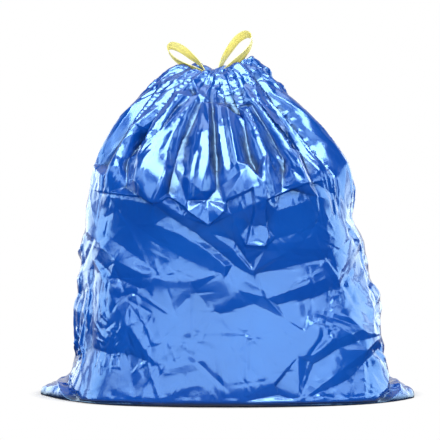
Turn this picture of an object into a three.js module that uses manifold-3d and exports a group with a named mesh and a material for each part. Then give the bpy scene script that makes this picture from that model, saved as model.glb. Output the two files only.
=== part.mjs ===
// A filled drawstring bin bag, standing on the floor with its mouth gathered shut.
// Millimetres, +Z up, the front of the bag faces -Y, origin on the floor under the middle of the bag.
//
// The bag is one tube of thin film: sealed flat across the bottom, so that its two bottom corners stick
// out as pointed ears, filled into a soft block, and gathered into pleats at the neck by two flat tapes
// that run in the hem. Each tape is pulled out of the neck as a loop, to lift and tie the bag by.

import * as THREE from "three";
import { LoftGeometry } from "three/addons/geometries/LoftGeometry.js";
import { mergeVertices } from "three/addons/utils/BufferGeometryUtils.js";
import Module from "manifold-3d";

// Filled body, from the floor up: heights above the floor, widths along X, depths along Y.
// A shift is how far the middle of that section stands to the right of the base's middle.
const BASE_INSET = 4;
const FOOT_HEIGHT = 10;
const FOOT_WIDTH = 446;
const FOOT_DEPTH = 306;
const FOOT_SHIFT = 4;
const BELLY_HEIGHT = 92;
const BELLY_WIDTH = 428;
const BELLY_DEPTH = 298;
const BELLY_SHIFT = 5;
const WAIST_HEIGHT = 204;
const WAIST_WIDTH = 390;
const WAIST_DEPTH = 274;
const WAIST_SHIFT = -6;
const SHOULDER_HEIGHT = 288;
const SHOULDER_WIDTH = 368;
const SHOULDER_DEPTH = 276;
const SHOULDER_SHIFT = -6;
const SHOULDER_SQUARE = 2.6;

// Gathered top: the sides of these sections stand higher than their front and back by the drop.
const SLOPE_HEIGHT = 372;
const SLOPE_WIDTH = 281;
const SLOPE_DEPTH = 214;
const SLOPE_SHIFT = -15;
const SLOPE_DROP = 14;
const CREST_HEIGHT = 430;
const CREST_WIDTH = 178;
const CREST_DEPTH = 122;
const CREST_SHIFT = -17;
const CREST_DROP = 22;
const RIM_HEIGHT = 461;
const RIM_WIDTH = 98;
const RIM_DEPTH = 52;
const RIM_SHIFT = -13;
const RIM_DROP = 21;
const RIM_LEAN = 5;
const NECK_HEIGHT = 446;
const NECK_WIDTH = 54;
const NECK_DEPTH = 36;
const NECK_SHIFT = -13;
const NECK_DIP = 4;

// Bottom corners, drawn out to points on the floor.
const BASE_SPAN = 526;
const EAR_HEIGHT = 36;
const EAR_TIP_HEIGHT = 8;
const LEFT_EAR_FORWARD = 12;
const RIGHT_EAR_FORWARD = 48;
const EAR_FRONT_DEPTH = 92;
const EAR_BACK_DEPTH = 118;
const EAR_ROOT_GROOVE = 4;

// Pleats that run down from the neck, and the fold of slack film that hangs over the front below them.
const PLEATS = 22;
const PLEAT_COLUMNS = 6;
const PLEAT_DEPTH = 17;
const PLEAT_NECK_DEPTH = 5;
const PLEAT_LOW_END = 236;
const PLEAT_HIGH_END = 320;
const SWAG_RISE = 12;
const SWAG_REACH = 74;

// The ragged lower edge of that fold, as [across, up] from left to right. The back has it mirrored.
const SWAG_EDGE = [
  [-190, 292],
  [-90, 272],
  [-23, 256],
  [46, 260],
  [101, 280],
  [190, 298],
];

// Where the valleys between the front's pleats lie at the shoulder, across from left to right. The other
// pleats are spread evenly round the bag.
const FRONT_VALLEYS = [-170, -136, -79, -61, -13, 11, 41, 76, 119, 152];

// Fold lines of the front's lower film: how far the film stands out along each line, or in where that is negative, and
// the line's points as [across, up]. From one line to the next the film runs evenly.
const FOLD_BLEND = 4;
const FRONT_FOLDS = [
  {
    rise: 0,
    line: [
      [-168, 279], [-94, 265], [-57, 251], [-23, 238],
      [6, 254], [24, 247], [18, 227], [23, 210], [51, 207],
    ],
  },
  { rise: 0, line: [[51, 207], [65, 224], [65, 258], [122, 276], [159, 270]] },
  { rise: -9, line: [[-165, 232], [-132, 236]] },
  { rise: -5, line: [[-125, 240], [-65, 200], [-23, 181]] },
  { rise: -3, line: [[-74, 243], [-34, 216], [-1, 187]] },
  { rise: -9, line: [[-43, 227], [-9, 202], [9, 187]] },
  { rise: -3, line: [[-23, 230], [9, 207], [33, 180]] },
  { rise: -11, line: [[9, 219], [31, 187]] },
  { rise: 1, line: [[-176, 217], [-148, 192], [-114, 175], [-82, 166], [-48, 165], [-7, 176]] },
  { rise: -6, line: [[-153, 219], [-105, 187], [-60, 185], [-23, 178]] },
  { rise: -7, line: [[-182, 193], [-151, 170], [-114, 155], [-82, 156], [-48, 156]] },
  { rise: -2, line: [[37, 180], [88, 207], [140, 207]] },
  { rise: -9, line: [[41, 176], [88, 185], [136, 195]] },
  { rise: -3, line: [[54, 142], [91, 155], [151, 173]] },
  { rise: -10, line: [[68, 135], [116, 145], [160, 158]] },
  { rise: -4, line: [[35, 173], [48, 145], [80, 115], [102, 102]] },
  { rise: -3, line: [[-3, 170], [17, 153], [6, 142]] },
  { rise: -7, line: [[-41, 153], [-23, 131], [-9, 123], [37, 136]] },
  { rise: -4, line: [[-115, 102], [-48, 95], [13, 92]] },
  { rise: -4, line: [[18, 92], [102, 101]] },
  { rise: -5, line: [[-23, 116], [9, 99]] },
  { rise: -1, line: [[105, 100], [165, 118]] },
  { rise: 0, line: [[-134, 80], [-60, 68], [13, 77], [94, 66]] },
  { rise: 2, line: [[-190, 125], [-165, 94], [-139, 61]] },
  { rise: -5, line: [[-195, 91], [-182, 62]] },
  { rise: 1, line: [[-196, 53], [-142, 57], [-94, 51]] },
  { rise: -5, line: [[116, 57], [151, 77], [179, 85]] },
  { rise: 2, line: [[114, 68], [145, 88], [179, 99]] },
  { rise: -5, line: [[162, 35], [185, 55], [207, 71]] },
  { rise: 2, line: [[153, 48], [185, 71], [210, 88]] },
  { rise: 8, line: [[23, 15], [62, 32]] },
  { rise: -2, line: [[65, 29], [69, 17]] },
  { rise: 5, line: [[-40, 256], [-23, 246], [-8, 257]] },
  { rise: -4, line: [[-52, 272], [-26, 273], [-4, 270]] },
  { rise: 5, line: [[28, 218], [48, 216]] },
  { rise: -2, line: [[37, 252], [48, 254]] },
  { rise: 4, line: [[-178, 6], [-77, 7], [9, 6], [94, 6], [180, 6]] },
  { rise: 0, line: [[-250, 0], [-250, 450], [250, 450], [250, 0], [-250, 0]] },
  {
    rise: 0,
    line: [
      [-205, 240], [-185, 320], [-120, 410], [-50, 444],
      [40, 444], [110, 415], [185, 320], [205, 240],
    ],
  },
  { rise: -9, line: [[-227, 30], [-215, 14], [-203, 2]] },
  { rise: 3, line: [[-235, 27], [-224, 11], [-213, 1]] },
  { rise: 2, line: [[-218, 36], [-205, 18], [-192, 4]] },
  { rise: -9, line: [[221, 58], [228, 33], [226, 16], [206, 2]] },
  { rise: 3, line: [[213, 60], [219, 35], [214, 19], [196, 4]] },
  { rise: 2, line: [[234, 30], [235, 14], [216, 1]] },
];

// Folds of the film on the other faces. Each is a straight ridge, or a valley where the rise is negative,
// between two points of the face it lies on: [across, up], with across along +X on the back and along +Y
// on the left and right. The spread is the half width of the fold.
const FOLDS = [
  { face: "back", from: [-30, 190], to: [96, 240], rise: 7, spread: 26 },
  { face: "back", from: [-30, 190], to: [60, 176], rise: -6, spread: 24 },
  { face: "back", from: [-30, 190], to: [-150, 222], rise: 7, spread: 24 },
  { face: "back", from: [-34, 182], to: [-160, 150], rise: -7, spread: 24 },
  { face: "back", from: [-8, 96], to: [-30, 190], rise: 5, spread: 24 },
  { face: "back", from: [-8, 96], to: [128, 108], rise: -6, spread: 22 },
  { face: "back", from: [-8, 96], to: [-150, 76], rise: 6, spread: 26 },
  { face: "back", from: [160, 190], to: [100, 80], rise: 7, spread: 22 },
  { face: "back", from: [188, 120], to: [96, 40], rise: -7, spread: 24 },
  { face: "back", from: [-186, 100], to: [-90, 36], rise: 7, spread: 22 },
  { face: "left", from: [-96, 196], to: [70, 184], rise: -7, spread: 14 },
  { face: "left", from: [-80, 216], to: [96, 224], rise: 4, spread: 20 },
  { face: "left", from: [-100, 150], to: [60, 142], rise: -8, spread: 18 },
  { face: "left", from: [-70, 62], to: [100, 116], rise: -6, spread: 24 },
  { face: "right", from: [-110, 254], to: [110, 266], rise: -17, spread: 26 },
  { face: "right", from: [-100, 222], to: [90, 214], rise: 5, spread: 16 },
  { face: "right", from: [-110, 182], to: [100, 172], rise: -8, spread: 18 },
  { face: "right", from: [-90, 150], to: [80, 140], rise: 4, spread: 20 },
  { face: "right", from: [-60, 92], to: [110, 112], rise: -8, spread: 24 },
];

// Drawtapes: flat film tape, bunched a little where it is pulled through the hem.
const TAPE_WIDTH = 15;
const TAPE_THICKNESS = 1.2;
const TAPE_ROOT = 12;
const TAPE_CLEARANCE = 0.3;
const TAPE_STEPS = 44;

// One entry for each pulled loop: where it leaves the neck, how far its two strands stand apart there and
// at their widest, how long it is, how far it leans to the right, and how far it is turned about itself.
const LOOPS = {
  left_drawtape: { x: -29, y: 4, footGap: 9, gap: 18, length: 63, lean: -55, turn: 28 },
  right_drawtape: { x: -9, y: -5, footGap: 12, gap: 25, length: 66, lean: 38, turn: -36 },
};

const FILM_BLUE = 0x0b55c8;
const FILM_ROUGHNESS = 0.2;
const TAPE_YELLOW = 0xead84a;
const TAPE_ROUGHNESS = 0.35;

const wasm = await Module();
wasm.setup();

// Key sections of the bag from the base's edge to the neck, with the rows of facets below each one.
// square is the exponent of the section's outline: 2 is an ellipse, more is a rounded rectangle.
const KEY_SECTIONS = [
  {
    rows: 0, height: 0, drop: 0, lean: 0, shift: FOOT_SHIFT, square: 3.4,
    width: FOOT_WIDTH - 2 * BASE_INSET, depth: FOOT_DEPTH - 2 * BASE_INSET,
  },
  {
    rows: 3, height: FOOT_HEIGHT, drop: 0, lean: 0, shift: FOOT_SHIFT, square: 3.4,
    width: FOOT_WIDTH, depth: FOOT_DEPTH,
  },
  {
    rows: 5, height: BELLY_HEIGHT, drop: 0, lean: 0, shift: BELLY_SHIFT, square: 3.1,
    width: BELLY_WIDTH, depth: BELLY_DEPTH,
  },
  {
    rows: 6, height: WAIST_HEIGHT, drop: 0, lean: 0, shift: WAIST_SHIFT, square: 2.9,
    width: WAIST_WIDTH, depth: WAIST_DEPTH,
  },
  {
    rows: 7, height: SHOULDER_HEIGHT, drop: 0, lean: 0, shift: SHOULDER_SHIFT, square: SHOULDER_SQUARE,
    width: SHOULDER_WIDTH, depth: SHOULDER_DEPTH,
  },
  {
    rows: 6, height: SLOPE_HEIGHT, drop: SLOPE_DROP, lean: 0, shift: SLOPE_SHIFT, square: 2.2,
    width: SLOPE_WIDTH, depth: SLOPE_DEPTH,
  },
  {
    rows: 5, height: CREST_HEIGHT, drop: CREST_DROP, lean: 0, shift: CREST_SHIFT, square: 2,
    width: CREST_WIDTH, depth: CREST_DEPTH,
  },
  {
    rows: 4, height: RIM_HEIGHT, drop: RIM_DROP, lean: RIM_LEAN, shift: RIM_SHIFT, square: 2,
    width: RIM_WIDTH, depth: RIM_DEPTH,
  },
  {
    rows: 2, height: NECK_HEIGHT - NECK_DIP, drop: 0, lean: 0, shift: NECK_SHIFT, square: 2,
    width: NECK_WIDTH + NECK_DIP, depth: NECK_DEPTH + NECK_DIP,
  },
  {
    rows: 1, height: NECK_HEIGHT, drop: 0, lean: 0, shift: NECK_SHIFT, square: 2,
    width: NECK_WIDTH, depth: NECK_DEPTH,
  },
];
const KEY_NAMES = ["height", "drop", "lean", "shift", "square", "width", "depth"];
const RIM_KEY = 7;
const NECK_KEY = 8;
const LAST_KEY = KEY_SECTIONS.length - 1;

const smooth = (value, low, high) => THREE.MathUtils.smoothstep(value, low, high);

// The section at any place along the key sections, read off one smooth curve through them.
const keyCurve = new THREE.CubicInterpolant(
  KEY_SECTIONS.map((_, index) => index),
  KEY_SECTIONS.flatMap((section) => KEY_NAMES.map((name) => section[name])),
  KEY_NAMES.length,
  new Float64Array(KEY_NAMES.length),
);

function sectionAt(place) {
  const values = keyCurve.evaluate(place);
  return Object.fromEntries(KEY_NAMES.map((name, index) => [name, values[index]]));
}

// How far the bottom corner reaches past the body at a height, and at a place along the bag's depth.
function earReach(section, side, height, y) {
  const reach = BASE_SPAN / 2 - section.width / 2 - side * section.shift;
  const rise = Math.max(0, height - EAR_TIP_HEIGHT) / (EAR_HEIGHT - EAR_TIP_HEIGHT);
  const taper = Math.max(0, 1 - rise) ** 1.15;
  const behind = y + (side < 0 ? LEFT_EAR_FORWARD : RIGHT_EAR_FORWARD);
  const spread = Math.abs(behind) / (behind < 0 ? EAR_FRONT_DEPTH : EAR_BACK_DEPTH);
  return reach * taper * Math.max(0, 1 - spread) ** 1.1;
}

// The smooth skin of the filled bag, before its pleats and folds.
function skinPoint(angle, place) {
  const section = sectionAt(place);
  const cosine = Math.cos(angle);
  const sine = Math.sin(angle);
  const radius = (
    Math.abs((2 * cosine) / section.width) ** section.square +
    Math.abs((2 * sine) / section.depth) ** section.square
  ) ** (-1 / section.square);
  const height = section.height - section.drop * sine * sine + section.lean * cosine;
  const y = radius * sine;
  const side = Math.sign(cosine);
  const ear = side * earReach(section, side, height, y);
  return new THREE.Vector3(section.shift + radius * cosine + ear, y, height);
}

function skinNormal(angle, place) {
  const step = 0.01;
  const before = Math.max(0, place - step);
  const after = Math.min(LAST_KEY, place + step);
  const around = skinPoint(angle + step, place).sub(skinPoint(angle - step, place));
  const upward = skinPoint(angle, after).sub(skinPoint(angle, before));
  return around.cross(upward).normalize();
}

const PLEAT_TURN = (2 * Math.PI) / PLEATS;
const FIRST_FRONT_VALLEY = PLEATS / 2 + 1;

// The angle of a place across the front, at the shoulder.
function frontAngle(across) {
  const x = across - SHOULDER_SHIFT;
  const inward = (1 - Math.abs((2 * x) / SHOULDER_WIDTH) ** SHOULDER_SQUARE) ** (1 / SHOULDER_SQUARE);
  return 2 * Math.PI + Math.atan2((-inward * SHOULDER_DEPTH) / 2, x);
}

// The angle where a pleat begins. Behind, pleats are moved a little so that no two of them match.
function pleatAngle(index) {
  const valley = FRONT_VALLEYS[index - FIRST_FRONT_VALLEY];
  if (valley !== undefined) return frontAngle(valley);
  const wander = 0.26 * Math.sin(3 * index * PLEAT_TURN) + 0.17 * Math.sin(7 * index * PLEAT_TURN);
  return PLEAT_TURN * (index + wander);
}

// Wide pleats stand out further than narrow ones.
function pleatStrength(index) {
  const wide = (pleatAngle(index + 1) - pleatAngle(index)) / PLEAT_TURN;
  return (0.78 + 0.3 * Math.sin(2.4 * index + 0.9)) * THREE.MathUtils.clamp(wide, 0.4, 1.1);
}

// Pleats are rounded ridges with sharp valleys between them. They fade out on the filled body.
function pleatRise(pleat, share, place, height) {
  const fade = smooth(height, PLEAT_LOW_END, PLEAT_HIGH_END);
  const nearNeck = smooth(place, RIM_KEY - 2, RIM_KEY);
  const depth = THREE.MathUtils.lerp(PLEAT_DEPTH, PLEAT_NECK_DEPTH, nearNeck);
  const shut = 1 - smooth(place, RIM_KEY, NECK_KEY);
  const ridge = Math.abs(Math.sin(Math.PI * share)) ** 0.85 - 0.55;
  return depth * fade * shut * pleatStrength(pleat) * ridge;
}

// The height of the slack fold's lower edge at a place across the bag.
function swagHeight(across) {
  const last = SWAG_EDGE.length - 1;
  const next = SWAG_EDGE.findIndex((corner) => corner[0] > across);
  const index = THREE.MathUtils.clamp(next === -1 ? last : next, 1, last);
  const [low, high] = [SWAG_EDGE[index - 1], SWAG_EDGE[index]];
  const share = THREE.MathUtils.clamp((across - low[0]) / (high[0] - low[0]), 0, 1);
  return THREE.MathUtils.lerp(low[1], high[1], share);
}

// Slack film above the filling bulges over the front and back, and drops in below its ragged edge.
function swagRise(point, normal) {
  const edge = swagHeight(point.x * -Math.sign(normal.y));
  const above = smooth(point.z, edge - 7, edge + 7) * (1 - smooth(point.z, edge, edge + SWAG_REACH));
  return SWAG_RISE * above * smooth(Math.abs(normal.y), 0.3, 0.8);
}

const FACE_AXES = {
  back: { across: "x", outward: new THREE.Vector3(0, 1, 0) },
  left: { across: "y", outward: new THREE.Vector3(-1, 0, 0) },
  right: { across: "y", outward: new THREE.Vector3(1, 0, 0) },
};

// The front's fold lines as straight pieces, with each piece's rise.
const FRONT_PIECES = FRONT_FOLDS.flatMap(({ rise, line }) =>
  line.slice(1).map((end, index) => ({
    rise,
    piece: new THREE.Line3(new THREE.Vector3(...line[index], 0), new THREE.Vector3(...end, 0)),
  })),
);

const facesFront = (normal) => smooth(-normal.y, 0.1, 0.45);

// The rise of the nearest fold lines, each weighed by how near it is.
function frontRise(point, normal) {
  const here = new THREE.Vector3(point.x, point.z, 0);
  const nearest = new THREE.Vector3();
  let rises = 0;
  let weights = 0;
  for (const { rise, piece } of FRONT_PIECES) {
    const away = piece.closestPointToPoint(here, true, nearest).distanceTo(here);
    const weight = 1 / (FOLD_BLEND ** 3 + away ** 3);
    rises += weight * rise;
    weights += weight;
  }
  return (facesFront(normal) * rises) / weights;
}

// A fold is a straight tent: full height on its line, nothing at its spread, and shallow at its ends.
function foldRise(fold, point, normal) {
  const face = FACE_AXES[fold.face];
  const facing = smooth(normal.dot(face.outward), 0.2, 0.7);
  const start = new THREE.Vector2(...fold.from);
  const run = new THREE.Vector2(...fold.to).sub(start);
  const here = new THREE.Vector2(point[face.across], point.z).sub(start);
  const along = THREE.MathUtils.clamp(here.dot(run) / run.lengthSq(), 0, 1);
  const away = here.addScaledVector(run, -along).length();
  const lengthwise = Math.sqrt(Math.sin(Math.PI * THREE.MathUtils.clamp(along, 0.04, 0.96)));
  return fold.rise * facing * lengthwise * Math.max(0, 1 - away / fold.spread);
}

// A groove where each bottom corner is creased away from the body.
function earGroove(point, height) {
  const rootX = FOOT_WIDTH / 2 + 0.2 * (EAR_HEIGHT - height);
  const away = Math.abs(Math.abs(point.x) - rootX);
  const low = 1 - smooth(height, EAR_HEIGHT * 0.5, EAR_HEIGHT);
  const lifted = smooth(height, 0, EAR_TIP_HEIGHT);
  return -EAR_ROOT_GROOVE * low * lifted * Math.max(0, 1 - away / EAR_ROOT_GROOVE);
}

function bagPoint(pleat, share, place) {
  const angle = THREE.MathUtils.lerp(pleatAngle(pleat), pleatAngle(pleat + 1), share);
  const point = skinPoint(angle, place);
  const normal = skinNormal(angle, place);
  const height = point.z;
  const grounded = smooth(height, 0, FOOT_HEIGHT);
  const folds = FOLDS.reduce((sum, fold) => sum + foldRise(fold, point, normal), 0);
  const pleats = pleatRise(pleat, share, place, height);
  const rise = pleats + swagRise(point, normal) + frontRise(point, normal) + folds;
  return point.addScaledVector(normal, grounded * rise + earGroove(point, height));
}

// One closed section for each row of facets, in order from the base's edge to the neck.
function bagSections() {
  const places = [0];
  KEY_SECTIONS.slice(1).forEach((section, key) => {
    for (let row = 1; row <= section.rows; row += 1) places.push(key + row / section.rows);
  });
  const columns = Array.from({ length: PLEATS * PLEAT_COLUMNS }, (_, column) => column);
  return places.map((place) =>
    columns.map((column) => {
      const pleat = Math.floor(column / PLEAT_COLUMNS);
      return bagPoint(pleat, column / PLEAT_COLUMNS - pleat, place);
    }),
  );
}

// The line down the middle of a tape loop: up out of the neck, over the loop's end and back down.
function loopLine(loop) {
  const lean = THREE.MathUtils.degToRad(loop.lean);
  const turn = THREE.MathUtils.degToRad(loop.turn);
  const axis = new THREE.Vector3(Math.sin(lean), 0, Math.cos(lean));
  const apart = new THREE.Vector3(Math.cos(lean), 0, -Math.sin(lean)).applyAxisAngle(axis, turn);
  const foot = new THREE.Vector3(loop.x, loop.y, NECK_HEIGHT);
  const at = (across, along) =>
    foot.clone().addScaledVector(apart, across).addScaledVector(axis, along);
  const strand = (side) => {
    const footPoint = at((side * loop.footGap) / 2, 0);
    return [
      footPoint.clone().setZ(NECK_HEIGHT - TAPE_ROOT),
      footPoint.clone().setZ(NECK_HEIGHT - TAPE_ROOT / 3),
      at(side * loop.gap * 0.36, loop.length * 0.24),
      at(side * loop.gap * 0.47, loop.length * 0.5),
      at(side * loop.gap * 0.5, loop.length * 0.76),
      at(side * loop.gap * 0.3, loop.length * 0.95),
    ];
  };
  const points = [...strand(-1), at(0, loop.length), ...strand(1).reverse()];
  return { curve: new THREE.CatmullRomCurve3(points), widthwise: axis.clone().cross(apart) };
}

// A flat tape along a loop's line, with its width square to the plane of the loop.
function tapeGeometry(loop, clearance) {
  const { curve, widthwise } = loopLine(loop);
  const halfWidth = TAPE_WIDTH / 2 + clearance;
  const halfThickness = TAPE_THICKNESS / 2 + clearance;
  const sections = Array.from({ length: TAPE_STEPS + 1 }, (_, step) => {
    const share = step / TAPE_STEPS;
    const along = curve.getTangentAt(share);
    const across = widthwise.clone().addScaledVector(along, -widthwise.dot(along)).normalize();
    const through = along.clone().cross(across);
    const end = step === 0 ? -clearance : step === TAPE_STEPS ? clearance : 0;
    const middle = curve.getPointAt(share).addScaledVector(along, end);
    return [[-1, -1], [1, -1], [1, 1], [-1, 1]].map(([wide, thick]) =>
      middle
        .clone()
        .addScaledVector(across, wide * halfWidth)
        .addScaledVector(through, thick * halfThickness),
    );
  });
  return new LoftGeometry(sections, { closed: true, capStart: true, capEnd: true });
}

function toSolid(geometry) {
  const bare = new THREE.BufferGeometry();
  bare.setAttribute("position", geometry.attributes.position);
  bare.setIndex(geometry.index);
  const merged = mergeVertices(bare, 1e-4);
  return new wasm.Manifold(
    new wasm.Mesh({
      numProp: 3,
      vertProperties: new Float32Array(merged.attributes.position.array),
      triVerts: new Uint32Array(merged.index.array),
    }),
  );
}

function toGeometry(solid) {
  const mesh = solid.getMesh();
  const geometry = new THREE.BufferGeometry();
  geometry.setAttribute("position", new THREE.BufferAttribute(mesh.vertProperties, mesh.numProp));
  geometry.setIndex(new THREE.BufferAttribute(mesh.triVerts, 1));
  geometry.computeVertexNormals();
  return geometry;
}

// The bag, with a slot in its neck round each end of each tape.
function bagGeometry() {
  const skin = new LoftGeometry(bagSections(), { closed: true, capStart: true, capEnd: true });
  const slots = Object.values(LOOPS).map((loop) => toSolid(tapeGeometry(loop, TAPE_CLEARANCE)));
  return toGeometry(slots.reduce((bag, slot) => bag.subtract(slot), toSolid(skin)));
}

const film = new THREE.MeshStandardMaterial({
  color: FILM_BLUE,
  roughness: FILM_ROUGHNESS,
  metalness: 0,
});
const tapeFilm = new THREE.MeshStandardMaterial({
  color: TAPE_YELLOW,
  roughness: TAPE_ROUGHNESS,
  metalness: 0,
});

const binBag = new THREE.Group();

const bag = new THREE.Mesh(bagGeometry(), film);
bag.name = "bag";
binBag.add(bag);

for (const [name, loop] of Object.entries(LOOPS)) {
  const tape = new THREE.Mesh(tapeGeometry(loop, 0), tapeFilm);
  tape.name = name;
  binBag.add(tape);
}

// The origin goes to the middle of the bag's outline, on the floor.
const middle = new THREE.Box3().setFromObject(binBag).getCenter(new THREE.Vector3());
for (const mesh of binBag.children) mesh.geometry.translate(-middle.x, -middle.y, 0);

export default binBag;
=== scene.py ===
import math

import bpy
import numpy as np
from mathutils import Matrix, Vector
from mathutils.geometry import delaunay_2d_cdt


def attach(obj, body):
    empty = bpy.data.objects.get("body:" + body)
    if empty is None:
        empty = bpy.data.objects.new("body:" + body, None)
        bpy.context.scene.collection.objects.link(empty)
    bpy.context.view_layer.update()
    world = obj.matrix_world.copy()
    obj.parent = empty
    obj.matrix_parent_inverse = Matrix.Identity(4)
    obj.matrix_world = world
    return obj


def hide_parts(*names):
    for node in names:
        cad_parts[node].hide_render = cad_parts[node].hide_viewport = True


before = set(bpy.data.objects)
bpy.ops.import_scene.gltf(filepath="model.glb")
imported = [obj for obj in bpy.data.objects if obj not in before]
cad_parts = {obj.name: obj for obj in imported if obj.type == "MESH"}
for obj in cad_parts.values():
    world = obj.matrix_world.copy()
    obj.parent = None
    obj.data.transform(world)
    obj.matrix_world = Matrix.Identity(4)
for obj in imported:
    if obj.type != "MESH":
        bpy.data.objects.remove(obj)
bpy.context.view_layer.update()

# The bag: one tube of thin polyethylene film, sealed across the bottom and filled with waste.
# The film lies slack over the filling, hangs in folds from the gathered neck, and keeps the creases
# of the flat pack that it was folded in.
MM = 0.001
FILM_VOXEL = 4.6 * MM
MERGE_WITHIN = 0.01 * MM


def select_only(obj):
    if bpy.context.object and bpy.context.object.mode != "OBJECT":
        bpy.ops.object.mode_set(mode="OBJECT")
    bpy.ops.object.select_all(action="DESELECT")
    obj.select_set(True)
    bpy.context.view_layer.objects.active = obj


def copy_of_node(cad_node, name):
    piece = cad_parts[cad_node].copy()
    piece.data = piece.data.copy()
    piece.parent = None
    piece.name = name
    bpy.context.collection.objects.link(piece)
    select_only(piece)
    bpy.ops.object.mode_set(mode="EDIT")
    bpy.ops.mesh.select_all(action="SELECT")
    bpy.ops.mesh.remove_doubles(threshold=MERGE_WITHIN)
    bpy.ops.object.mode_set(mode="OBJECT")
    piece.data.materials.clear()
    return piece


def vectors_of(items, what):
    values = np.empty(len(items) * 3)
    items.foreach_get(what, values)
    return values.reshape(-1, 3)


def points_of(obj):
    return vectors_of(obj.data.vertices, "co")


def normals_of(obj):
    return vectors_of(obj.data.vertices, "normal")


def move_points(obj, points):
    obj.data.vertices.foreach_set("co", points.ravel())
    obj.data.update()


def smoothstep(value, low, high):
    share = np.clip((value - low) / (high - low), 0, 1)
    return share * share * (3 - 2 * share)


def finish_modifier(obj, modifier):
    select_only(obj)
    bpy.ops.object.modifier_apply(modifier=modifier.name)


film = copy_of_node("bag", "bag_film")
film.data.remesh_voxel_size = FILM_VOXEL
bpy.ops.object.voxel_remesh()

# The front is smoothed before it is folded, most of all below the swag, which is the slack film that hangs
# from the pleats. Each pair says where a form begins and where it is complete, in metres or as a turn.
SWAG_HEIGHT = 0.262
LOWER_FRONT = (SWAG_HEIGHT + 0.02, SWAG_HEIGHT + 0.06)
NECK_FADE = (0.35, 0.43)
FRONT_TURN = (0.1, 0.45)
FRONT_DEPTH = (0.01, 0.04)
FOOT_RISE = (0.004, 0.016)
RELAX_FACTOR = 0.5
RELAX_EVERYWHERE = 0.1
RELAX_ROUNDS = 14
LOWER_ROUNDS = 160


def faces_front(points, normals):
    return smoothstep(-normals[:, 1], *FRONT_TURN) * smoothstep(-points[:, 1], *FRONT_DEPTH)


def relax_film(obj, weights, rounds):
    weights = np.round(weights, 1)
    group = obj.vertex_groups.new(name="relaxed")
    for share in np.unique(weights):
        group.add(np.flatnonzero(weights == share).tolist(), float(share), "REPLACE")
    relax = obj.modifiers.new("relax", "SMOOTH")
    relax.factor = RELAX_FACTOR
    relax.iterations = rounds
    relax.vertex_group = "relaxed"
    finish_modifier(obj, relax)
    obj.vertex_groups.clear()


shape = points_of(film)
front = faces_front(shape, normals_of(film)) * smoothstep(shape[:, 2], *FOOT_RISE)
below_neck = 1 - smoothstep(shape[:, 2], *NECK_FADE)
below_swag = 1 - smoothstep(shape[:, 2], *LOWER_FRONT)
relax_film(film, RELAX_EVERYWHERE + (1 - RELAX_EVERYWHERE) * front * below_neck, RELAX_ROUNDS)
relax_film(film, front * below_swag, LOWER_ROUNDS)

# The film settles over its filling: it is a little too large for the shape, so it buckles as slack film
# does, and it is held where the bag stands on the floor and where the neck is drawn shut.
FILM_SLACK = 0.035
FILM_PRESSURE = 0.9
FILM_MASS = 0.06
FILM_STIFFNESS = 18
FILM_SHEAR = 8
FILM_BENDING = 0.08
FILM_GRAVITY = 0.15
FILM_QUALITY = 5
FILM_FRAMES = 16
FILM_REACH = 7 * MM
FRONT_CALM = 6.5 * MM
HELD_FLOOR = 10 * MM
HELD_NECK = 0.436
NO_LENGTH = 1e-9
scene = bpy.context.scene


def settle_film(obj, calm):
    start = points_of(obj)
    held = obj.vertex_groups.new(name="held")
    still = np.flatnonzero((start[:, 2] < HELD_FLOOR) | (start[:, 2] > HELD_NECK))
    held.add(still.tolist(), 1.0, "REPLACE")
    modifier = obj.modifiers.new("settle", "CLOTH")
    cloth = modifier.settings
    cloth.quality = FILM_QUALITY
    cloth.mass = FILM_MASS
    cloth.tension_stiffness = FILM_STIFFNESS
    cloth.compression_stiffness = FILM_STIFFNESS
    cloth.shear_stiffness = FILM_SHEAR
    cloth.bending_stiffness = FILM_BENDING
    cloth.vertex_group_mass = "held"
    cloth.use_pressure = True
    cloth.uniform_pressure_force = FILM_PRESSURE
    cloth.shrink_min = -FILM_SLACK
    cloth.effector_weights.gravity = FILM_GRAVITY
    modifier.collision_settings.use_collision = False
    scene.frame_start = 1
    scene.frame_end = FILM_FRAMES
    for number in range(1, FILM_FRAMES + 1):
        scene.frame_set(number)
    finish_modifier(obj, modifier)
    scene.frame_set(1)
    moved = points_of(obj) - start
    length = np.linalg.norm(moved, axis=1, keepdims=True)
    reach = (FILM_REACH - FRONT_CALM * calm)[:, None]
    share = reach * np.tanh(length / reach) / np.maximum(length, NO_LENGTH)
    move_points(obj, start + moved * share)


settle_film(film, front)
finer = film.modifiers.new("finer", "SUBSURF")
finer.levels = 1
finer.render_levels = 1
finish_modifier(film, finer)

# The front is where the eye goes first, so its film is cut finer, and so is the gathered neck.
FINE_NECK = 0.385
FINE_TURN = 0.15
FINE_DEPTH = 0.01


def refine_front(obj):
    faces = obj.data.polygons
    normals = vectors_of(faces, "normal")
    centres = vectors_of(faces, "center")
    ahead = (normals[:, 1] < -FINE_TURN) & (centres[:, 1] < -FINE_DEPTH)
    chosen = ahead | (centres[:, 2] > FINE_NECK)
    select_only(obj)
    bpy.ops.object.mode_set(mode="EDIT")
    bpy.ops.mesh.select_mode(type="FACE")
    bpy.ops.mesh.select_all(action="DESELECT")
    bpy.ops.object.mode_set(mode="OBJECT")
    faces.foreach_set("select", chosen)
    bpy.ops.object.mode_set(mode="EDIT")
    bpy.ops.mesh.subdivide(number_cuts=1)
    bpy.ops.object.mode_set(mode="OBJECT")


refine_front(film)

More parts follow.
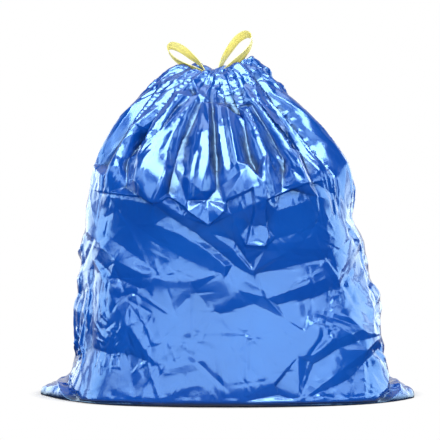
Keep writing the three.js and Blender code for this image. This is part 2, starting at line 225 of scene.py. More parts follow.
# Fold lines of the front, in millimetres: how far the line stands out (in, where negative), and its points
# as (across, up). The film bends along the lines and lies flat between them.
FRONT_FOLDS = [
    # Pleats of the gathered top, from left to right.
    (-7, [(-93, 421), (-140, 364), (-159, 320)]),
    (5.5, [(-73, 416), (-122, 372), (-147, 330), (-164, 302)]),
    (-9.5, [(-63, 401), (-91, 364), (-110, 352), (-132, 330), (-138, 290)]),
    (9.5, [(-48, 409), (-85, 367), (-111, 335), (-116, 298), (-98, 274)]),
    (8, [(-38, 414), (-62, 374), (-77, 335), (-80, 300), (-88, 274)]),
    (-8, [(-35, 406), (-56, 359), (-71, 320), (-77, 283)]),
    (8, [(-26, 401), (-25, 364), (-26, 325), (-33, 283)]),
    (-9.5, [(-20, 406), (-19, 364), (-16, 325), (-13, 289)]),
    (7, [(1, 394), (9, 352), (15, 320), (26, 315), (47, 296)]),
    (-8, [(21, 384), (26, 352), (33, 325), (38, 315)]),
    (8, [(26, 396), (41, 354), (51, 330), (51, 275)]),
    (-9.5, [(33, 401), (56, 362), (73, 330), (75, 290)]),
    (9.5, [(41, 409), (68, 369), (85, 340), (103, 295)]),
    (-7, [(51, 414), (83, 372), (100, 340), (116, 299)]),
    (5.5, [(75, 419), (112, 382), (140, 352), (159, 322)]),
    # Deep pockets between the pleats.
    (-16, [(-112, 356), (-106, 360)]),
    (-30, [(4, 410), (9, 398)]),
    (-26, [(14, 402), (19, 391)]),
    (-20, [(-50, 425), (-44, 420)]),
    (-15, [(86, 356), (91, 347)]),
    # Where the lower film comes out from under the swag.
    (0, [
        (-168, 279), (-94, 265), (-57, 251), (-23, 238), (6, 254), (24, 247), (18, 227), (23, 210), (51, 207),
    ]),
    (0, [(51, 207), (65, 224), (65, 258), (122, 276), (159, 270)]),
    # Fan of folds on the left, below the swag.
    (-2, [(-165, 232), (-132, 236)]),
    (-3, [(-125, 240), (-65, 200), (-23, 181)]),
    (0.5, [(-96, 240), (-66, 229), (-34, 212), (-1, 186)]),
    (-4.5, [(-78, 252), (-43, 230), (-9, 203), (9, 187)]),
    (-0.5, [(-23, 230), (9, 207), (33, 180)]),
    (-4, [(9, 219), (31, 187)]),
    (0.3, [(-176, 217), (-148, 192), (-114, 175)]),
    (-2.5, [(-82, 166), (-48, 165), (-7, 176)]),
    (-3.2, [(-153, 219), (-105, 187), (-60, 185), (-23, 178)]),
    (-3, [(-182, 193), (-151, 170), (-114, 155), (-82, 156), (-48, 156)]),
    # Folds that run up to the right, and the hollow between them and the fan.
    (-0.5, [(37, 180), (88, 207), (140, 207)]),
    (-4.5, [(41, 176), (88, 185), (136, 195)]),
    (-1, [(54, 142), (91, 155), (151, 173)]),
    (-5.5, [(68, 135), (116, 145), (160, 158)]),
    (-3, [(35, 173), (48, 145), (80, 115), (102, 102)]),
    (-2, [(-3, 170), (17, 153), (6, 142)]),
    (-5, [(-41, 153), (-23, 131), (-9, 123), (37, 136)]),
    # Long level creases of the flat pack.
    (-1.2, [(-112, 101), (-48, 95), (13, 92)]),
    (-1.2, [(18, 92), (102, 101)]),
    (-2.5, [(-23, 116), (9, 99)]),
    (-1, [(105, 100), (165, 118)]),
    (0, [(-100, 76), (-60, 68), (13, 77), (94, 66)]),
    # Folds above the bottom corners, and a tuck at the foot.
    (0.5, [(-164, 160), (-130, 105), (-92, 54)]),
    (-10, [(-190, 74), (-160, 68), (-130, 70)]),
    (-3, [(116, 57), (151, 77), (179, 85)]),
    (1.5, [(114, 68), (145, 88), (179, 99)]),
    (-3, [(162, 35), (185, 55), (207, 71)]),
    (1.5, [(153, 48), (185, 71), (210, 88)]),
    (4, [(23, 15), (62, 32)]),
    (-1, [(65, 29), (69, 17)]),
    # The swag's point and its hanging strip.
    (6, [(-49, 260), (-23, 243), (-3, 259)]),
    (-5, [(-52, 272), (-26, 273), (-4, 270)]),
    (6, [(27, 214), (49, 212)]),
    (-3, [(31, 240), (49, 240)]),
    # The foot, which stands out a little over the floor.
    (5, [(-178, 6), (-120, 9), (-77, 7), (-30, 10), (9, 6), (94, 8), (180, 6)]),
    # Limits where the folds run out.
    (0, [(-250, 0), (-250, 450), (250, 450), (250, 0), (-250, 0)]),
    (0, [(-205, 240), (-185, 320), (-120, 410), (-50, 444), (40, 444), (110, 415), (185, 320), (205, 240)]),
    # Sharp creases at the roots of the two bottom corners.
    (-9, [(-227, 30), (-215, 14), (-203, 2)]),
    (3, [(-235, 27), (-224, 11), (-213, 1)]),
    (2, [(-218, 36), (-205, 18), (-192, 4)]),
    (-9, [(221, 58), (228, 33), (226, 16), (206, 2)]),
    (3, [(213, 60), (219, 35), (214, 19), (196, 4)]),
    (2, [(234, 30), (235, 14), (216, 1)]),
]
NECK_CALM = 0.75
SAME_PLACE = 0.01


def fold_facets():
    rises = {}
    for rise, line in FRONT_FOLDS:
        for place in line:
            rises.setdefault(place, rise)
    places = list(rises)
    lines = []
    for _, line in FRONT_FOLDS:
        lines += [(places.index(a), places.index(b)) for a, b in zip(line, line[1:])]
    spots = [Vector(place) for place in places]
    corners, _, facets, sources, _, _ = delaunay_2d_cdt(spots, lines, [], 0, SAME_PLACE)
    heights = [rises[places[known[0]]] if known else 0 for known in sources]
    return corners, facets, heights


def front_relief(points):
    corners, facets, heights = fold_facets()
    flat = points[:, [0, 2]] / MM
    relief = np.zeros(len(points))
    for facet in facets:
        a, b, c = (np.array(corners[index]) for index in facet)
        rise_a, rise_b, rise_c = (heights[index] for index in facet)
        across, up = b - a, c - a
        area = across[0] * up[1] - across[1] * up[0]
        here = flat - a
        first = (here[:, 0] * up[1] - here[:, 1] * up[0]) / area
        second = (across[0] * here[:, 1] - across[1] * here[:, 0]) / area
        inside = (first >= 0) & (second >= 0) & (first + second <= 1)
        plane = rise_a + first * (rise_b - rise_a) + second * (rise_c - rise_a)
        relief[inside] = plane[inside]
    return relief * MM * (1 - NECK_CALM * smoothstep(points[:, 2], *NECK_FADE))


# The swag: the gathered upper film hangs over the slack film below it, and ends in a free edge, which is
# given in millimetres.
SWAG_EDGE = [
    (-230, 300), (-173, 282), (-114, 276), (-97, 270), (-88, 270), (-77, 276), (-68, 271), (-52, 260),
    (-23, 241), (0, 260), (1, 272), (25, 282), (34, 286), (35, 256), (25, 213), (51, 211), (57, 224),
    (52, 257), (53, 273), (75, 281), (103, 293), (132, 297), (230, 310),
]
SWAG_RISE = 5 * MM
SWAG_FADE = 16 * MM
SWAG_LIP = 1.5 * MM
SWAG_LEFT = (-0.19, -0.15)
SWAG_RIGHT = (0.105, 0.145)


def swag_relief(points):
    flat = points[:, [0, 2]]
    edge = np.array(SWAG_EDGE) * MM
    nearest = np.full(len(points), 1.0)
    above = np.zeros(len(points), dtype=bool)
    for a, b in zip(edge, edge[1:]):
        run = b - a
        along = np.clip((flat - a) @ run / (run @ run), 0, 1)
        nearest = np.minimum(nearest, np.linalg.norm(flat - a - along[:, None] * run, axis=1))
        spans = (a[0] <= flat[:, 0]) != (b[0] <= flat[:, 0])
        crossing = a[1] + (flat[:, 0] - a[0]) / (run[0] if run[0] else NO_LENGTH) * run[1]
        above ^= spans & (flat[:, 1] > crossing)
    ends = smoothstep(points[:, 0], *SWAG_LEFT) * (1 - smoothstep(points[:, 0], *SWAG_RIGHT))
    return SWAG_RISE * above * ends * smoothstep(nearest, 0, SWAG_LIP) * np.exp(-nearest / SWAG_FADE)


# Scattered creases: straight folds that lie in the film wherever it was handled, with lengths, spreads and
# rises in millimetres. Those with a stray run towards the neck on the gathered top, give or take the stray.
CREASE_POWER = 1.25
CREASE_TAPER = 0.22
CREASE_END = 0.35
CREASE_OVERRUN = 0.5
PLEATED_ABOVE = 0.275
PLEATED_STRETCH = 1.6
SAME_SIDE = 0.4
NECK_POINT = np.array([-12, 0, 440]) * MM
SIDE_FOLDS = dict(seed=11, count=300, lengths=(30, 110), spreads=(8, 18), rises=(1.2, 3.6), stray=0.012)
SIDE_CRINKLES = dict(seed=5, count=700, lengths=(10, 45), spreads=(2.5, 5), rises=(0.2, 0.6), stray=0.05)
LOW_CRINKLES = dict(seed=8, count=330, lengths=(10, 60), spreads=(2, 4), rises=(0.12, 0.5), stray=None)
LOW_FOLDS = dict(seed=2, count=120, lengths=(25, 95), spreads=(5, 12), rises=(0.3, 1.2), stray=None)
SCUFFS = dict(seed=7, count=70, lengths=(8, 40), spreads=(2, 4.5), rises=(0.3, 1.0), stray=None)
PLEAT_STREAKS = dict(seed=3, count=130, lengths=(30, 75), spreads=(2.5, 5), rises=(0.3, 0.9), stray=0.01)


def tent(across, along, length, spread):
    taper = np.clip(np.minimum(along, length - along) / (CREASE_TAPER * length) + CREASE_END, 0, 1)
    inside = (along > -CREASE_OVERRUN * spread) & (along < length + CREASE_OVERRUN * spread)
    beyond = np.maximum(0, np.maximum(-along, along - length))
    away = np.hypot(across, beyond)
    return inside * taper * np.clip(1 - away / spread, 0, 1) ** CREASE_POWER


def scattered_creases(points, normals, where, seed, count, lengths, spreads, rises, stray):
    chance = np.random.default_rng(seed)
    order = np.argsort(points[:, 2])
    heights = points[order, 2]
    total = np.zeros(len(points))
    for index in chance.choice(np.flatnonzero(where), count):
        origin, normal = points[index], normals[index]
        heading = np.cross(normal, chance.normal(size=3))
        length = chance.uniform(*lengths) * MM
        spread = chance.uniform(*spreads) * MM
        rise = chance.uniform(*rises) * MM * chance.choice([-1, 1])
        if origin[2] > PLEATED_ABOVE and stray is not None:
            heading = NECK_POINT - origin + stray * chance.normal(size=3)
            heading -= normal * (heading @ normal)
            length *= PLEATED_STRETCH
        heading /= np.linalg.norm(heading)
        first, last = np.searchsorted(heights, [origin[2] - length, origin[2] + length])
        band = order[first:last]
        here = points[band] - origin
        alike = normals[band] @ normal > SAME_SIDE
        near = np.flatnonzero((np.abs(here).max(axis=1) < length) & alike)
        along = here[near] @ heading + length / 2
        across = here[near] @ np.cross(normal, heading)
        total[band[near]] += rise * tent(across, along, length, spread)
    return total


# Gathers of the neck: narrow pleats between the broad ones, which run out from the drawn hem. They wander
# round the neck, so that no two are alike.
NECK_CENTRE = NECK_POINT[:2]
NECK_FLATNESS = 1.5
GATHERS = 44
GATHER_WANDER = [(0.09, 5, 1), (0.05, 11, 2)]
GATHER_MEAN = 0.6
GATHER_SWING = 0.4
GATHER_WAVES = 7
GATHER_DEPTH = 2 * MM
GATHER_LEVEL = 0.6
GATHER_START = (0.4, 0.44)
GATHER_END = (0.452, 0.466)


def gather_relief(points):
    out = points[:, :2] - NECK_CENTRE
    angle = np.arctan2(out[:, 1] * NECK_FLATNESS, out[:, 0])
    wander = sum(swing * np.sin(waves * angle + start) for swing, waves, start in GATHER_WANDER)
    wave = np.abs(np.sin(0.5 * GATHERS * (angle + wander)))
    size = GATHER_MEAN + GATHER_SWING * np.sin(GATHER_WAVES * angle + 3 * np.sin(3 * angle))
    height = points[:, 2]
    reach = smoothstep(height, *GATHER_START) * (1 - smoothstep(height, *GATHER_END))
    return GATHER_DEPTH * reach * size * (wave - GATHER_LEVEL)


# All these folds move the film in or out. The two bottom corners count as front, and the base stays flat.
CORNER_START = (0.19, 0.205)
CORNER_TOP = (0.05, 0.07)
CORNER_DEPTH = (-0.03, 0)
BASE_RISE = (0.0005, 0.009)
SCUFF_CENTRE = (-0.135, 0.11)
SCUFF_HALF = (0.045, 0.06)
FOLDS_OFF_FRONT = 0.8
CRINKLES_OFF_FRONT = 0.5
shape = points_of(film)
outward = normals_of(film)
corners = smoothstep(np.abs(shape[:, 0]), *CORNER_START) * (1 - smoothstep(shape[:, 2], *CORNER_TOP))
facing = np.maximum(faces_front(shape, outward), corners * smoothstep(-shape[:, 1], *CORNER_DEPTH))
grounded = smoothstep(shape[:, 2], *BASE_RISE)
aside = facing < 0.5
pleated = ~aside & (shape[:, 2] > PLEATED_ABOVE)
unpleated = ~aside & (shape[:, 2] < PLEATED_ABOVE)
below = ~aside & (shape[:, 2] < SWAG_HEIGHT)
scuffed = ~aside & (np.abs(shape[:, 0] - SCUFF_CENTRE[0]) < SCUFF_HALF[0])
scuffed &= np.abs(shape[:, 2] - SCUFF_CENTRE[1]) < SCUFF_HALF[1]
relief = (front_relief(shape) + swag_relief(shape)) * facing
relief += gather_relief(shape)
relief += scattered_creases(shape, outward, aside, **SIDE_FOLDS) * (1 - FOLDS_OFF_FRONT * facing)
relief += scattered_creases(shape, outward, aside, **SIDE_CRINKLES) * (1 - CRINKLES_OFF_FRONT * facing)
relief += scattered_creases(shape, outward, unpleated, **LOW_CRINKLES)
relief += scattered_creases(shape, outward, below, **LOW_FOLDS)
relief += scattered_creases(shape, outward, scuffed, **SCUFFS)
relief += scattered_creases(shape, outward, pleated, **PLEAT_STREAKS)
move_points(film, shape + outward * (relief * grounded)[:, None])

# Each fold is rounded a little, as film is, and the mesh is thinned to what one piece may hold. Its shading
# then follows the larger faces, so that the film looks flat between its folds.
FILM_TRIANGLES = 190000
EDGE_ROUNDING = 3
FOLD_ANGLE = math.radians(45)
round_edges = film.modifiers.new("round_edges", "SMOOTH")
round_edges.factor = RELAX_FACTOR
round_edges.iterations = EDGE_ROUNDING
finish_modifier(film, round_edges)
thin_out = film.modifiers.new("thin_out", "DECIMATE")
film.data.calc_loop_triangles()
thin_out.ratio = FILM_TRIANGLES / len(film.data.loop_triangles)
finish_modifier(film, thin_out)
bpy.ops.object.shade_smooth_by_angle(angle=FOLD_ANGLE)
flat_faces = film.modifiers.new("flat_faces", "WEIGHTED_NORMAL")
flat_faces.keep_sharp = True
finish_modifier(film, flat_faces)

# Film deep in a fold, and film that turns under the bag, is duller, and its colour is darkened there as
# painted shade. Each point keeps how far it lies inside the same film when smoothed, which counts for less
# below the swag.
FOLD_ROUNDS = 70
FOLD_BLUR = 3
FOLD_DEPTH = (0.32 * MM, 3.2 * MM)
LOW_FOLD_SHARE = 0.3
FULL_FOLDS = (SWAG_HEIGHT, SWAG_HEIGHT + 0.03)
UNDER_EDGE = (3 * MM, 11 * MM)


def store_fold_shade(obj):
    ends = np.empty(len(obj.data.edges) * 2, dtype=int)
    obj.data.edges.foreach_get("vertices", ends)
    first, second = ends.reshape(-1, 2).T
    start = points_of(obj)
    count = np.bincount(ends, minlength=len(start))
    spread = start

    def blurred(values):
        total = np.bincount(first, values[second], len(start))
        total += np.bincount(second, values[first], len(start))
        return 0.5 * values + 0.5 * total / count

    for _ in range(FOLD_ROUNDS):
        spread = np.stack([blurred(spread[:, axis]) for axis in range(3)], axis=1)
    depth = ((spread - start) * normals_of(obj)).sum(axis=1)
    dark = smoothstep(depth, *FOLD_DEPTH)
    for _ in range(FOLD_BLUR):
        dark = blurred(dark)
    strength = LOW_FOLD_SHARE + (1 - LOW_FOLD_SHARE) * smoothstep(start[:, 2], *FULL_FOLDS)
    under = 1 - smoothstep(start[:, 2], *UNDER_EDGE)
    fold_shade = obj.data.attributes.new("fold_shade", "FLOAT", "POINT")
    # Painted shade: this share darkens the film's colour in its folds and along the foot, where it turns
    # under.
    fold_shade.data.foreach_set("value", np.maximum(strength * dark, under))


store_fold_shade(film)

# Blue film: glossy, a little uneven in tone, with fine crinkles that catch the light. Its colour is darkened
# towards a deep navy in folds and under the bag, as painted shade. The sockets of a colour mix share their
# names, so they go by number.
FILM_BLUES = [(0.0016, 0.052, 0.33, 1), (0.0028, 0.073, 0.4, 1)]
# Painted shade: the deep navy mixed in where the film lies in folds or turns under the bag.
FOLD_SHADE_BLUE = (0.0004, 0.008, 0.055, 1)
FILM_TINT = (0.37, 0.68, 1, 1)
FILM_GLOSS = 0.62
OPEN_ROUGHNESS = 0.17
FOLD_ROUGHNESS = 0.38
CRINKLE_SCALE = 55
CRINKLE_DETAIL = 4
CRINKLE_DISTORTION = 0.6
CRINKLE_STRENGTH = 0.08
CRINKLE_HEIGHT = 4 * MM
TONE_STOPS = (0.3, 0.7)
MIX_SHARE = 0
MIX_FIRST = 6
MIX_SECOND = 7
MIX_RESULT = 2


def node(tree, kind, **values):
    made = tree.nodes.new(kind)
    for name, value in values.items():
        setattr(made, name, value)
    return made


def uneven_tone(tree, place, scale, detail, colours):
    tone = node(tree, "ShaderNodeTexNoise")
    tone.inputs["Scale"].default_value = scale
    tone.inputs["Detail"].default_value = detail
    ramp = node(tree, "ShaderNodeValToRGB")
    for stop, position, colour in zip(ramp.color_ramp.elements, TONE_STOPS, colours):
        stop.position = position
        stop.color = colour
    tree.links.new(place.outputs["Object"], tone.inputs["Vector"])
    tree.links.new(tone.outputs["Fac"], ramp.inputs["Fac"])
    return ramp


def film_material():
    material = bpy.data.materials.new("blue_film")
    material.use_nodes = True
    tree = material.node_tree
    shader = tree.nodes["Principled BSDF"]
    place = node(tree, "ShaderNodeTexCoord")
    ramp = uneven_tone(tree, place, scale=9, detail=3, colours=FILM_BLUES)
    fold_shade = node(tree, "ShaderNodeAttribute", attribute_name="fold_shade")
    # Painted shade: the film's colour is mixed towards the deep navy by the fold share.
    dark = node(tree, "ShaderNodeMix", data_type="RGBA")
    dark.inputs[MIX_SECOND].default_value = FOLD_SHADE_BLUE
    tree.links.new(fold_shade.outputs["Fac"], dark.inputs[MIX_SHARE])
    tree.links.new(ramp.outputs["Color"], dark.inputs[MIX_FIRST])
    tree.links.new(dark.outputs[MIX_RESULT], shader.inputs["Base Color"])
    crinkle = node(tree, "ShaderNodeTexNoise")
    crinkle.inputs["Scale"].default_value = CRINKLE_SCALE
    crinkle.inputs["Detail"].default_value = CRINKLE_DETAIL
    crinkle.inputs["Distortion"].default_value = CRINKLE_DISTORTION
    bump = node(tree, "ShaderNodeBump")
    bump.inputs["Strength"].default_value = CRINKLE_STRENGTH
    bump.inputs["Distance"].default_value = CRINKLE_HEIGHT
    tree.links.new(place.outputs["Object"], crinkle.inputs["Vector"])
    tree.links.new(crinkle.outputs["Fac"], bump.inputs["Height"])
    tree.links.new(bump.outputs["Normal"], shader.inputs["Normal"])
    dull = node(tree, "ShaderNodeMapRange")
    dull.inputs["To Min"].default_value = OPEN_ROUGHNESS
    dull.inputs["To Max"].default_value = FOLD_ROUGHNESS
    tree.links.new(fold_shade.outputs["Fac"], dull.inputs["Value"])
    tree.links.new(dull.outputs["Result"], shader.inputs["Roughness"])
    shader.inputs["Specular IOR Level"].default_value = FILM_GLOSS
    shader.inputs["Specular Tint"].default_value = FILM_TINT
    return material


film.data.materials.append(film_material())
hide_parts("bag")
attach(film, "root")

# The drawtapes: two flat yellow film tapes that run in the hem. Each is pulled out of the neck as a loop,
# where its edges curl a little and the film is streaked along its length.
TAPE_WIDTH = 15 * MM
TAPE_THICKNESS = 0.7 * MM
TAPE_ROOT = 12 * MM
TAPE_CURL = 1.2 * MM
CURL_LEVEL = 0.3
CURL_MEAN = 0.6
CURL_SWING = 0.4
CURL_WAVES = 6
WIDTH_MEAN = 0.94
WIDTH_SWING = 0.05
WIDTH_WAVES = 11
TAPE_STREAK = 0.16 * MM
STREAK_WAVES = 6
STREAK_BENDS = 5
TAPE_RIPPLE = 0.2 * MM
RIPPLE_WAVES = 16
TAPE_TWIST = math.radians(24)
TAPE_EDGE_ANGLE = math.radians(40)
TAPE_ROWS = 141
TAPE_COLUMNS = 21
TAPE_YELLOWS = [(1.0, 0.9, 0.2, 1), (1.0, 0.95, 0.4, 1)]
TAPE_ROUGHNESS = 0.35
TAPE_TRANSLUCENCE = 0.12
NECK_HEIGHT = 446 * MM
FOOT_SLICE = 1 * MM
# The loops, in millimetres and degrees: each leans to its side and is turned about its own axis.
LOOPS = {
    "left_drawtape": dict(foot_gap=9, gap=18, length=63, lean=-55, turn=28),
    "right_drawtape": dict(foot_gap=12, gap=25, length=66, lean=38, turn=-36),
}
# A strand's points: how far out each lies, as a share of the loop's gap, and how far up, of its length.
LOOP_FORM = [(0.36, 0.24), (0.47, 0.5), (0.5, 0.76), (0.3, 0.95)]
LINE_STEPS = 40


def turned(vector, axis, angle):
    return Vector(vector) @ Matrix.Rotation(-angle, 3, axis)


def foot_of(tape_node):
    corners = points_of(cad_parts[tape_node])
    lowest = corners[corners[:, 2] < corners[:, 2].min() + FOOT_SLICE].mean(axis=0)
    return Vector((lowest[0], lowest[1], NECK_HEIGHT))


def loop_line(loop, foot):
    lean = math.radians(loop["lean"])
    axis = Vector((math.sin(lean), 0, math.cos(lean)))
    apart = turned((math.cos(lean), 0, -math.sin(lean)), axis, math.radians(loop["turn"]))
    gap, length = loop["gap"] * MM, loop["length"] * MM

    def strand(side):
        base = foot + apart * (side * loop["foot_gap"] * MM / 2)
        root = [
            Vector((base.x, base.y, NECK_HEIGHT - TAPE_ROOT)),
            Vector((base.x, base.y, NECK_HEIGHT - TAPE_ROOT / 3)),
        ]
        return root + [foot + apart * (side * gap * out) + axis * (length * up) for out, up in LOOP_FORM]

    points = strand(-1) + [foot + axis * length] + strand(1)[::-1]
    return [np.array(point) for point in points], np.array(axis.cross(apart))


def smooth_line(points, count):
    ends = [2 * points[0] - points[1]] + points + [2 * points[-1] - points[-2]]
    dense = []
    for index in range(len(points) - 1):
        before, start, end, after = ends[index:index + 4]
        slope = end - before
        bend = 2 * before - 5 * start + 4 * end - after
        sway = 3 * start - before - 3 * end + after
        for share in np.linspace(0, 1, LINE_STEPS, endpoint=False):
            dense.append(0.5 * (2 * start + slope * share + bend * share ** 2 + sway * share ** 3))
    dense = np.array(dense + [points[-1]])
    run = np.concatenate([[0], np.cumsum(np.linalg.norm(np.diff(dense, axis=0), axis=1))])
    even = np.linspace(0, run[-1], count)
    return np.stack([np.interp(even, run, dense[:, axis]) for axis in range(3)], axis=1)


def make_tape(name, loop):
    bpy.ops.object.select_all(action="DESELECT")
    rows, columns = TAPE_ROWS - 1, TAPE_COLUMNS - 1
    bpy.ops.mesh.primitive_grid_add(x_subdivisions=rows, y_subdivisions=columns, size=1)
    tape = bpy.context.object
    tape.name = name + "_film"
    controls, widthwise = loop_line(loop, foot_of(name))
    line = smooth_line(controls, TAPE_ROWS)
    along = np.gradient(line, axis=0)
    along /= np.linalg.norm(along, axis=1, keepdims=True)
    across = widthwise - along * (along @ widthwise)[:, None]
    across /= np.linalg.norm(across, axis=1, keepdims=True)
    through = np.cross(along, across)
    twist = TAPE_TWIST * np.cos(np.linspace(0, 2 * math.pi, TAPE_ROWS))[:, None]
    wide = across * np.cos(twist) + through * np.sin(twist)
    through = through * np.cos(twist) - across * np.sin(twist)
    grid = points_of(tape)
    row = np.rint((grid[:, 0] + 0.5) * rows).astype(int)
    side = grid[:, 1] * 2
    share = row / rows
    streak = TAPE_STREAK * np.sin(STREAK_WAVES * side + 3 * np.sin(STREAK_BENDS * share))
    streak += TAPE_RIPPLE * np.sin(RIPPLE_WAVES * share + 3 * side)
    curl = TAPE_CURL * (side ** 2 - CURL_LEVEL) * (CURL_MEAN + CURL_SWING * np.sin(CURL_WAVES * share))
    width = TAPE_WIDTH / 2 * (WIDTH_MEAN + WIDTH_SWING * np.sin(WIDTH_WAVES * share))
    points = line[row] + wide[row] * (side * width)[:, None] + through[row] * (curl + streak)[:, None]
    move_points(tape, points)
    solid = tape.modifiers.new("thickness", "SOLIDIFY")
    solid.thickness = TAPE_THICKNESS
    solid.offset = 0
    finish_modifier(tape, solid)
    bpy.ops.object.shade_smooth_by_angle(angle=TAPE_EDGE_ANGLE)
    return tape


def tape_material():
    material = bpy.data.materials.new("yellow_tape")
    material.use_nodes = True
    tree = material.node_tree
    shader = tree.nodes["Principled BSDF"]
    place = node(tree, "ShaderNodeTexCoord")
    ramp = uneven_tone(tree, place, scale=30, detail=1, colours=TAPE_YELLOWS)
    tree.links.new(ramp.outputs["Color"], shader.inputs["Base Color"])
    shader.inputs["Roughness"].default_value = TAPE_ROUGHNESS
    through = node(tree, "ShaderNodeBsdfTranslucent")
    thin = node(tree, "ShaderNodeMixShader")
    thin.inputs["Fac"].default_value = TAPE_TRANSLUCENCE
    tree.links.new(ramp.outputs["Color"], through.inputs["Color"])
    tree.links.new(shader.outputs[0], thin.inputs[1])
    tree.links.new(through.outputs[0], thin.inputs[2])
    tree.links.new(thin.outputs[0], tree.nodes["Material Output"].inputs["Surface"])
    return material


yellow_tape = tape_material()
for tape_node, loop in LOOPS.items():
    tape = make_tape(tape_node, loop)
    tape.data.materials.append(yellow_tape)
    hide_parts(tape_node)
    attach(tape, "root")

# The floor: a pale matt sheet, which the camera sees as plain white but for the shade close under the bag.
# That shade fades between two shares of the footprint, which is given as half its width and half its depth.
FLOOR_SIZE = 12
FLOOR_GREY = (0.86, 0.86, 0.86, 1)
FOOTPRINT = (0.262, 0.152)
FOOT_SHADE = (0.96, 1.06)
bpy.ops.object.select_all(action="DESELECT")
bpy.ops.mesh.primitive_plane_add(size=FLOOR_SIZE)
floor = bpy.context.object
floor.name = "floor"


def floor_material():
    material = bpy.data.materials.new("pale_floor")
    material.use_nodes = True
    tree = material.node_tree
    tree.nodes.remove(tree.nodes["Principled BSDF"])
    output = tree.nodes["Material Output"]
    matt = node(tree, "ShaderNodeBsdfDiffuse")
    matt.inputs["Color"].default_value = FLOOR_GREY
    white = node(tree, "ShaderNodeEmission")
    path = node(tree, "ShaderNodeLightPath")
    place = node(tree, "ShaderNodeTexCoord")
    apart = node(tree, "ShaderNodeVectorMath", operation="MULTIPLY")
    apart.inputs[1].default_value = (1 / FOOTPRINT[0], 1 / FOOTPRINT[1], 0)
    distance = node(tree, "ShaderNodeVectorMath", operation="LENGTH")
    near = node(tree, "ShaderNodeMapRange", interpolation_type="SMOOTHSTEP")
    near.inputs["From Min"].default_value = FOOT_SHADE[0]
    near.inputs["From Max"].default_value = FOOT_SHADE[1]
    tree.links.new(place.outputs["Object"], apart.inputs[0])
    tree.links.new(apart.outputs["Vector"], distance.inputs[0])
    tree.links.new(distance.outputs["Value"], near.inputs["Value"])
    share = node(tree, "ShaderNodeMath", operation="MULTIPLY")
    tree.links.new(near.outputs["Result"], share.inputs[1])
    mix = node(tree, "ShaderNodeMixShader")
    tree.links.new(path.outputs["Is Camera Ray"], share.inputs[0])
    tree.links.new(share.outputs[0], mix.inputs["Fac"])
    tree.links.new(matt.outputs[0], mix.inputs[1])
    tree.links.new(white.outputs[0], mix.inputs[2])
    tree.links.new(mix.outputs[0], output.inputs["Surface"])
    return material


floor.data.materials.append(floor_material())

# The surround: a plain white studio round the bag. It has its full strength where it is seen, mirrored or
# seen through, and is weaker as a light on matt faces.
SURROUND_WHITE = (1, 1, 1, 1)
SURROUND_LIGHT = 0.6
world = bpy.data.worlds.new("studio")
scene.world = world
world.use_nodes = True
sky = world.node_tree
surround = sky.nodes["Background"]
path = node(sky, "ShaderNodeLightPath")
seen = node(sky, "ShaderNodeMath", operation="ADD")
seen.use_clamp = True
seen_all = node(sky, "ShaderNodeMath", operation="ADD")
seen_all.use_clamp = True
level = node(sky, "ShaderNodeMapRange")
level.inputs["To Min"].default_value = SURROUND_LIGHT
sky.links.new(path.outputs["Is Camera Ray"], seen.inputs[0])
sky.links.new(path.outputs["Is Glossy Ray"], seen.inputs[1])
sky.links.new(seen.outputs[0], seen_all.inputs[0])
sky.links.new(path.outputs["Is Transmission Ray"], seen_all.inputs[1])
sky.links.new(seen_all.outputs[0], level.inputs["Value"])
sky.links.new(level.outputs["Result"], surround.inputs["Strength"])
surround.inputs["Color"].default_value = SURROUND_WHITE

# The lamps: broad panels that the glossy film mirrors, and two fills that light it without being mirrored.
# Widths and heights are in metres. Three lamps that would show in a view are hidden from the camera.
NEUTRAL_WHITE = (1.0, 1.0, 1.0)
COOL_WHITE = (0.78, 0.94, 1.0)
BAG_FOOT = (0, 0, 0.1)
BAG_MIDDLE = (0, 0, 0.25)
BAG_SHOULDER = (0, 0, 0.3)


def softbox(name, place, target, width, height, radiance, colour=NEUTRAL_WHITE, mirrored=True, seen=True):
    light = bpy.data.lights.new(name, "AREA")
    light.shape = "RECTANGLE"
    light.size = width
    light.size_y = height
    light.energy = radiance * math.pi * width * height
    light.color = colour
    lamp = bpy.data.objects.new(name, light)
    bpy.context.collection.objects.link(lamp)
    lamp.location = place
    lamp.rotation_euler = (Vector(target) - Vector(place)).to_track_quat("-Z", "Y").to_euler()
    lamp.visible_glossy = mirrored
    lamp.visible_diffuse = not mirrored
    lamp.visible_camera = seen


softbox("front_panel", (0.1, -3.1, 1.25), BAG_MIDDLE, width=3.6, height=1.7, radiance=7.4)
softbox("front_fill", (0.1, -3.0, 0.95), BAG_MIDDLE, width=2.2, height=1.9, radiance=3.6, mirrored=False)
softbox(
    "near_floor_panel", (0, -0.212, 0.002), (0, -0.212, 1),
    width=0.44, height=0.385, radiance=0.35, seen=False,
)
softbox("overhead", (-0.2, -1.1, 2.0), BAG_SHOULDER, width=2.0, height=1.1, radiance=33.0)
softbox("high_panel", (0, 0.15, 2.3), BAG_SHOULDER, width=1.6, height=0.9, radiance=6.0)
softbox("left_strip", (-1.8, -0.1, 0.7), BAG_MIDDLE, width=0.9, height=1.4, radiance=9.0, colour=COOL_WHITE)
softbox("right_strip", (1.9, 0.0, 0.7), BAG_MIDDLE, width=1.1, height=1.4, radiance=9.0, colour=COOL_WHITE)
for side in (-1, 1):
    softbox("front_wing", (2.1 * side, -2.1, 2.1), BAG_FOOT, width=2.2, height=0.9, radiance=7.0)
    softbox(
        "rim_strip", (1.6 * side, 1.3, 0.6), BAG_MIDDLE,
        width=1.2, height=1.4, radiance=5.0, colour=COOL_WHITE, seen=False,
    )
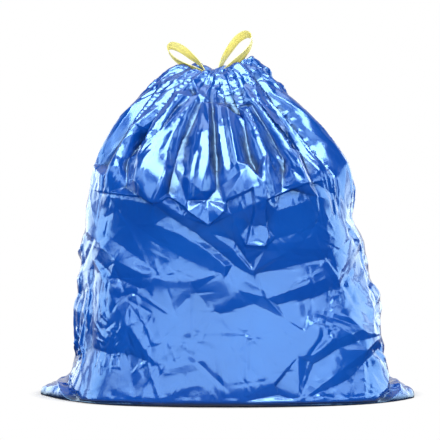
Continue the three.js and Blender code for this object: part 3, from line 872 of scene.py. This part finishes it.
softbox("overhead_fill", (0, -0.9, 2.2), BAG_SHOULDER, width=1.6, height=1.6, radiance=2.1, mirrored=False)

# The flags: large black boards behind and between the lamps, which the glossy film mirrors as its dark blues.
# The camera doesn't see them, and they cast no shadow.
FLAG_BLACK = (0.02, 0.02, 0.02, 1)


def dark_flag(name, place, target, width, height):
    bpy.ops.object.select_all(action="DESELECT")
    bpy.ops.mesh.primitive_plane_add(size=1)
    flag = bpy.context.object
    flag.name = name
    flag.scale = (width, height, 1)
    flag.location = place
    flag.rotation_euler = (Vector(target) - Vector(place)).to_track_quat("Z", "Y").to_euler()
    flag.visible_camera = False
    flag.visible_diffuse = False
    flag.visible_shadow = False
    material = bpy.data.materials.new(name)
    material.use_nodes = True
    shader = material.node_tree.nodes["Principled BSDF"]
    shader.inputs["Base Color"].default_value = FLAG_BLACK
    shader.inputs["Specular IOR Level"].default_value = 0
    flag.data.materials.append(material)


dark_flag("front_flag", (0, -3.6, 1.5), (0, 0, 1.5), width=9, height=5)
dark_flag("left_flag", (-3.2, -1.6, 1.5), (0, 0, 1.5), width=5, height=5)
dark_flag("right_flag", (3.2, -1.6, 1.5), (0, 0, 1.5), width=5, height=5)
dark_flag("top_flag", (0, -1.6, 2.7), (0, -1.6, 0), width=7, height=4.5)
dark_flag("ground_flag", (0, -1.5, 0.001), (0, -1.5, 1), width=6, height=3.8)

# The camera: a long lens at about two thirds of the bag's height, straight in front of it, aimed a little
# below the middle of its height.
AIM = Vector((-0.009, 0, 0.242))
CAMERA_PLACE = Vector((0.0013, -2.6, 0.33))
CAMERA_LENS = 153
CAMERA_SENSOR = 36
camera_data = bpy.data.cameras.new("camera")
camera_data.lens = CAMERA_LENS
camera_data.sensor_width = CAMERA_SENSOR
camera = bpy.data.objects.new("camera", camera_data)
bpy.context.collection.objects.link(camera)
camera.location = CAMERA_PLACE
camera.rotation_euler = (AIM - CAMERA_PLACE).to_track_quat("-Z", "Y").to_euler()
scene.camera = camera
scene.view_settings.view_transform = "Standard"
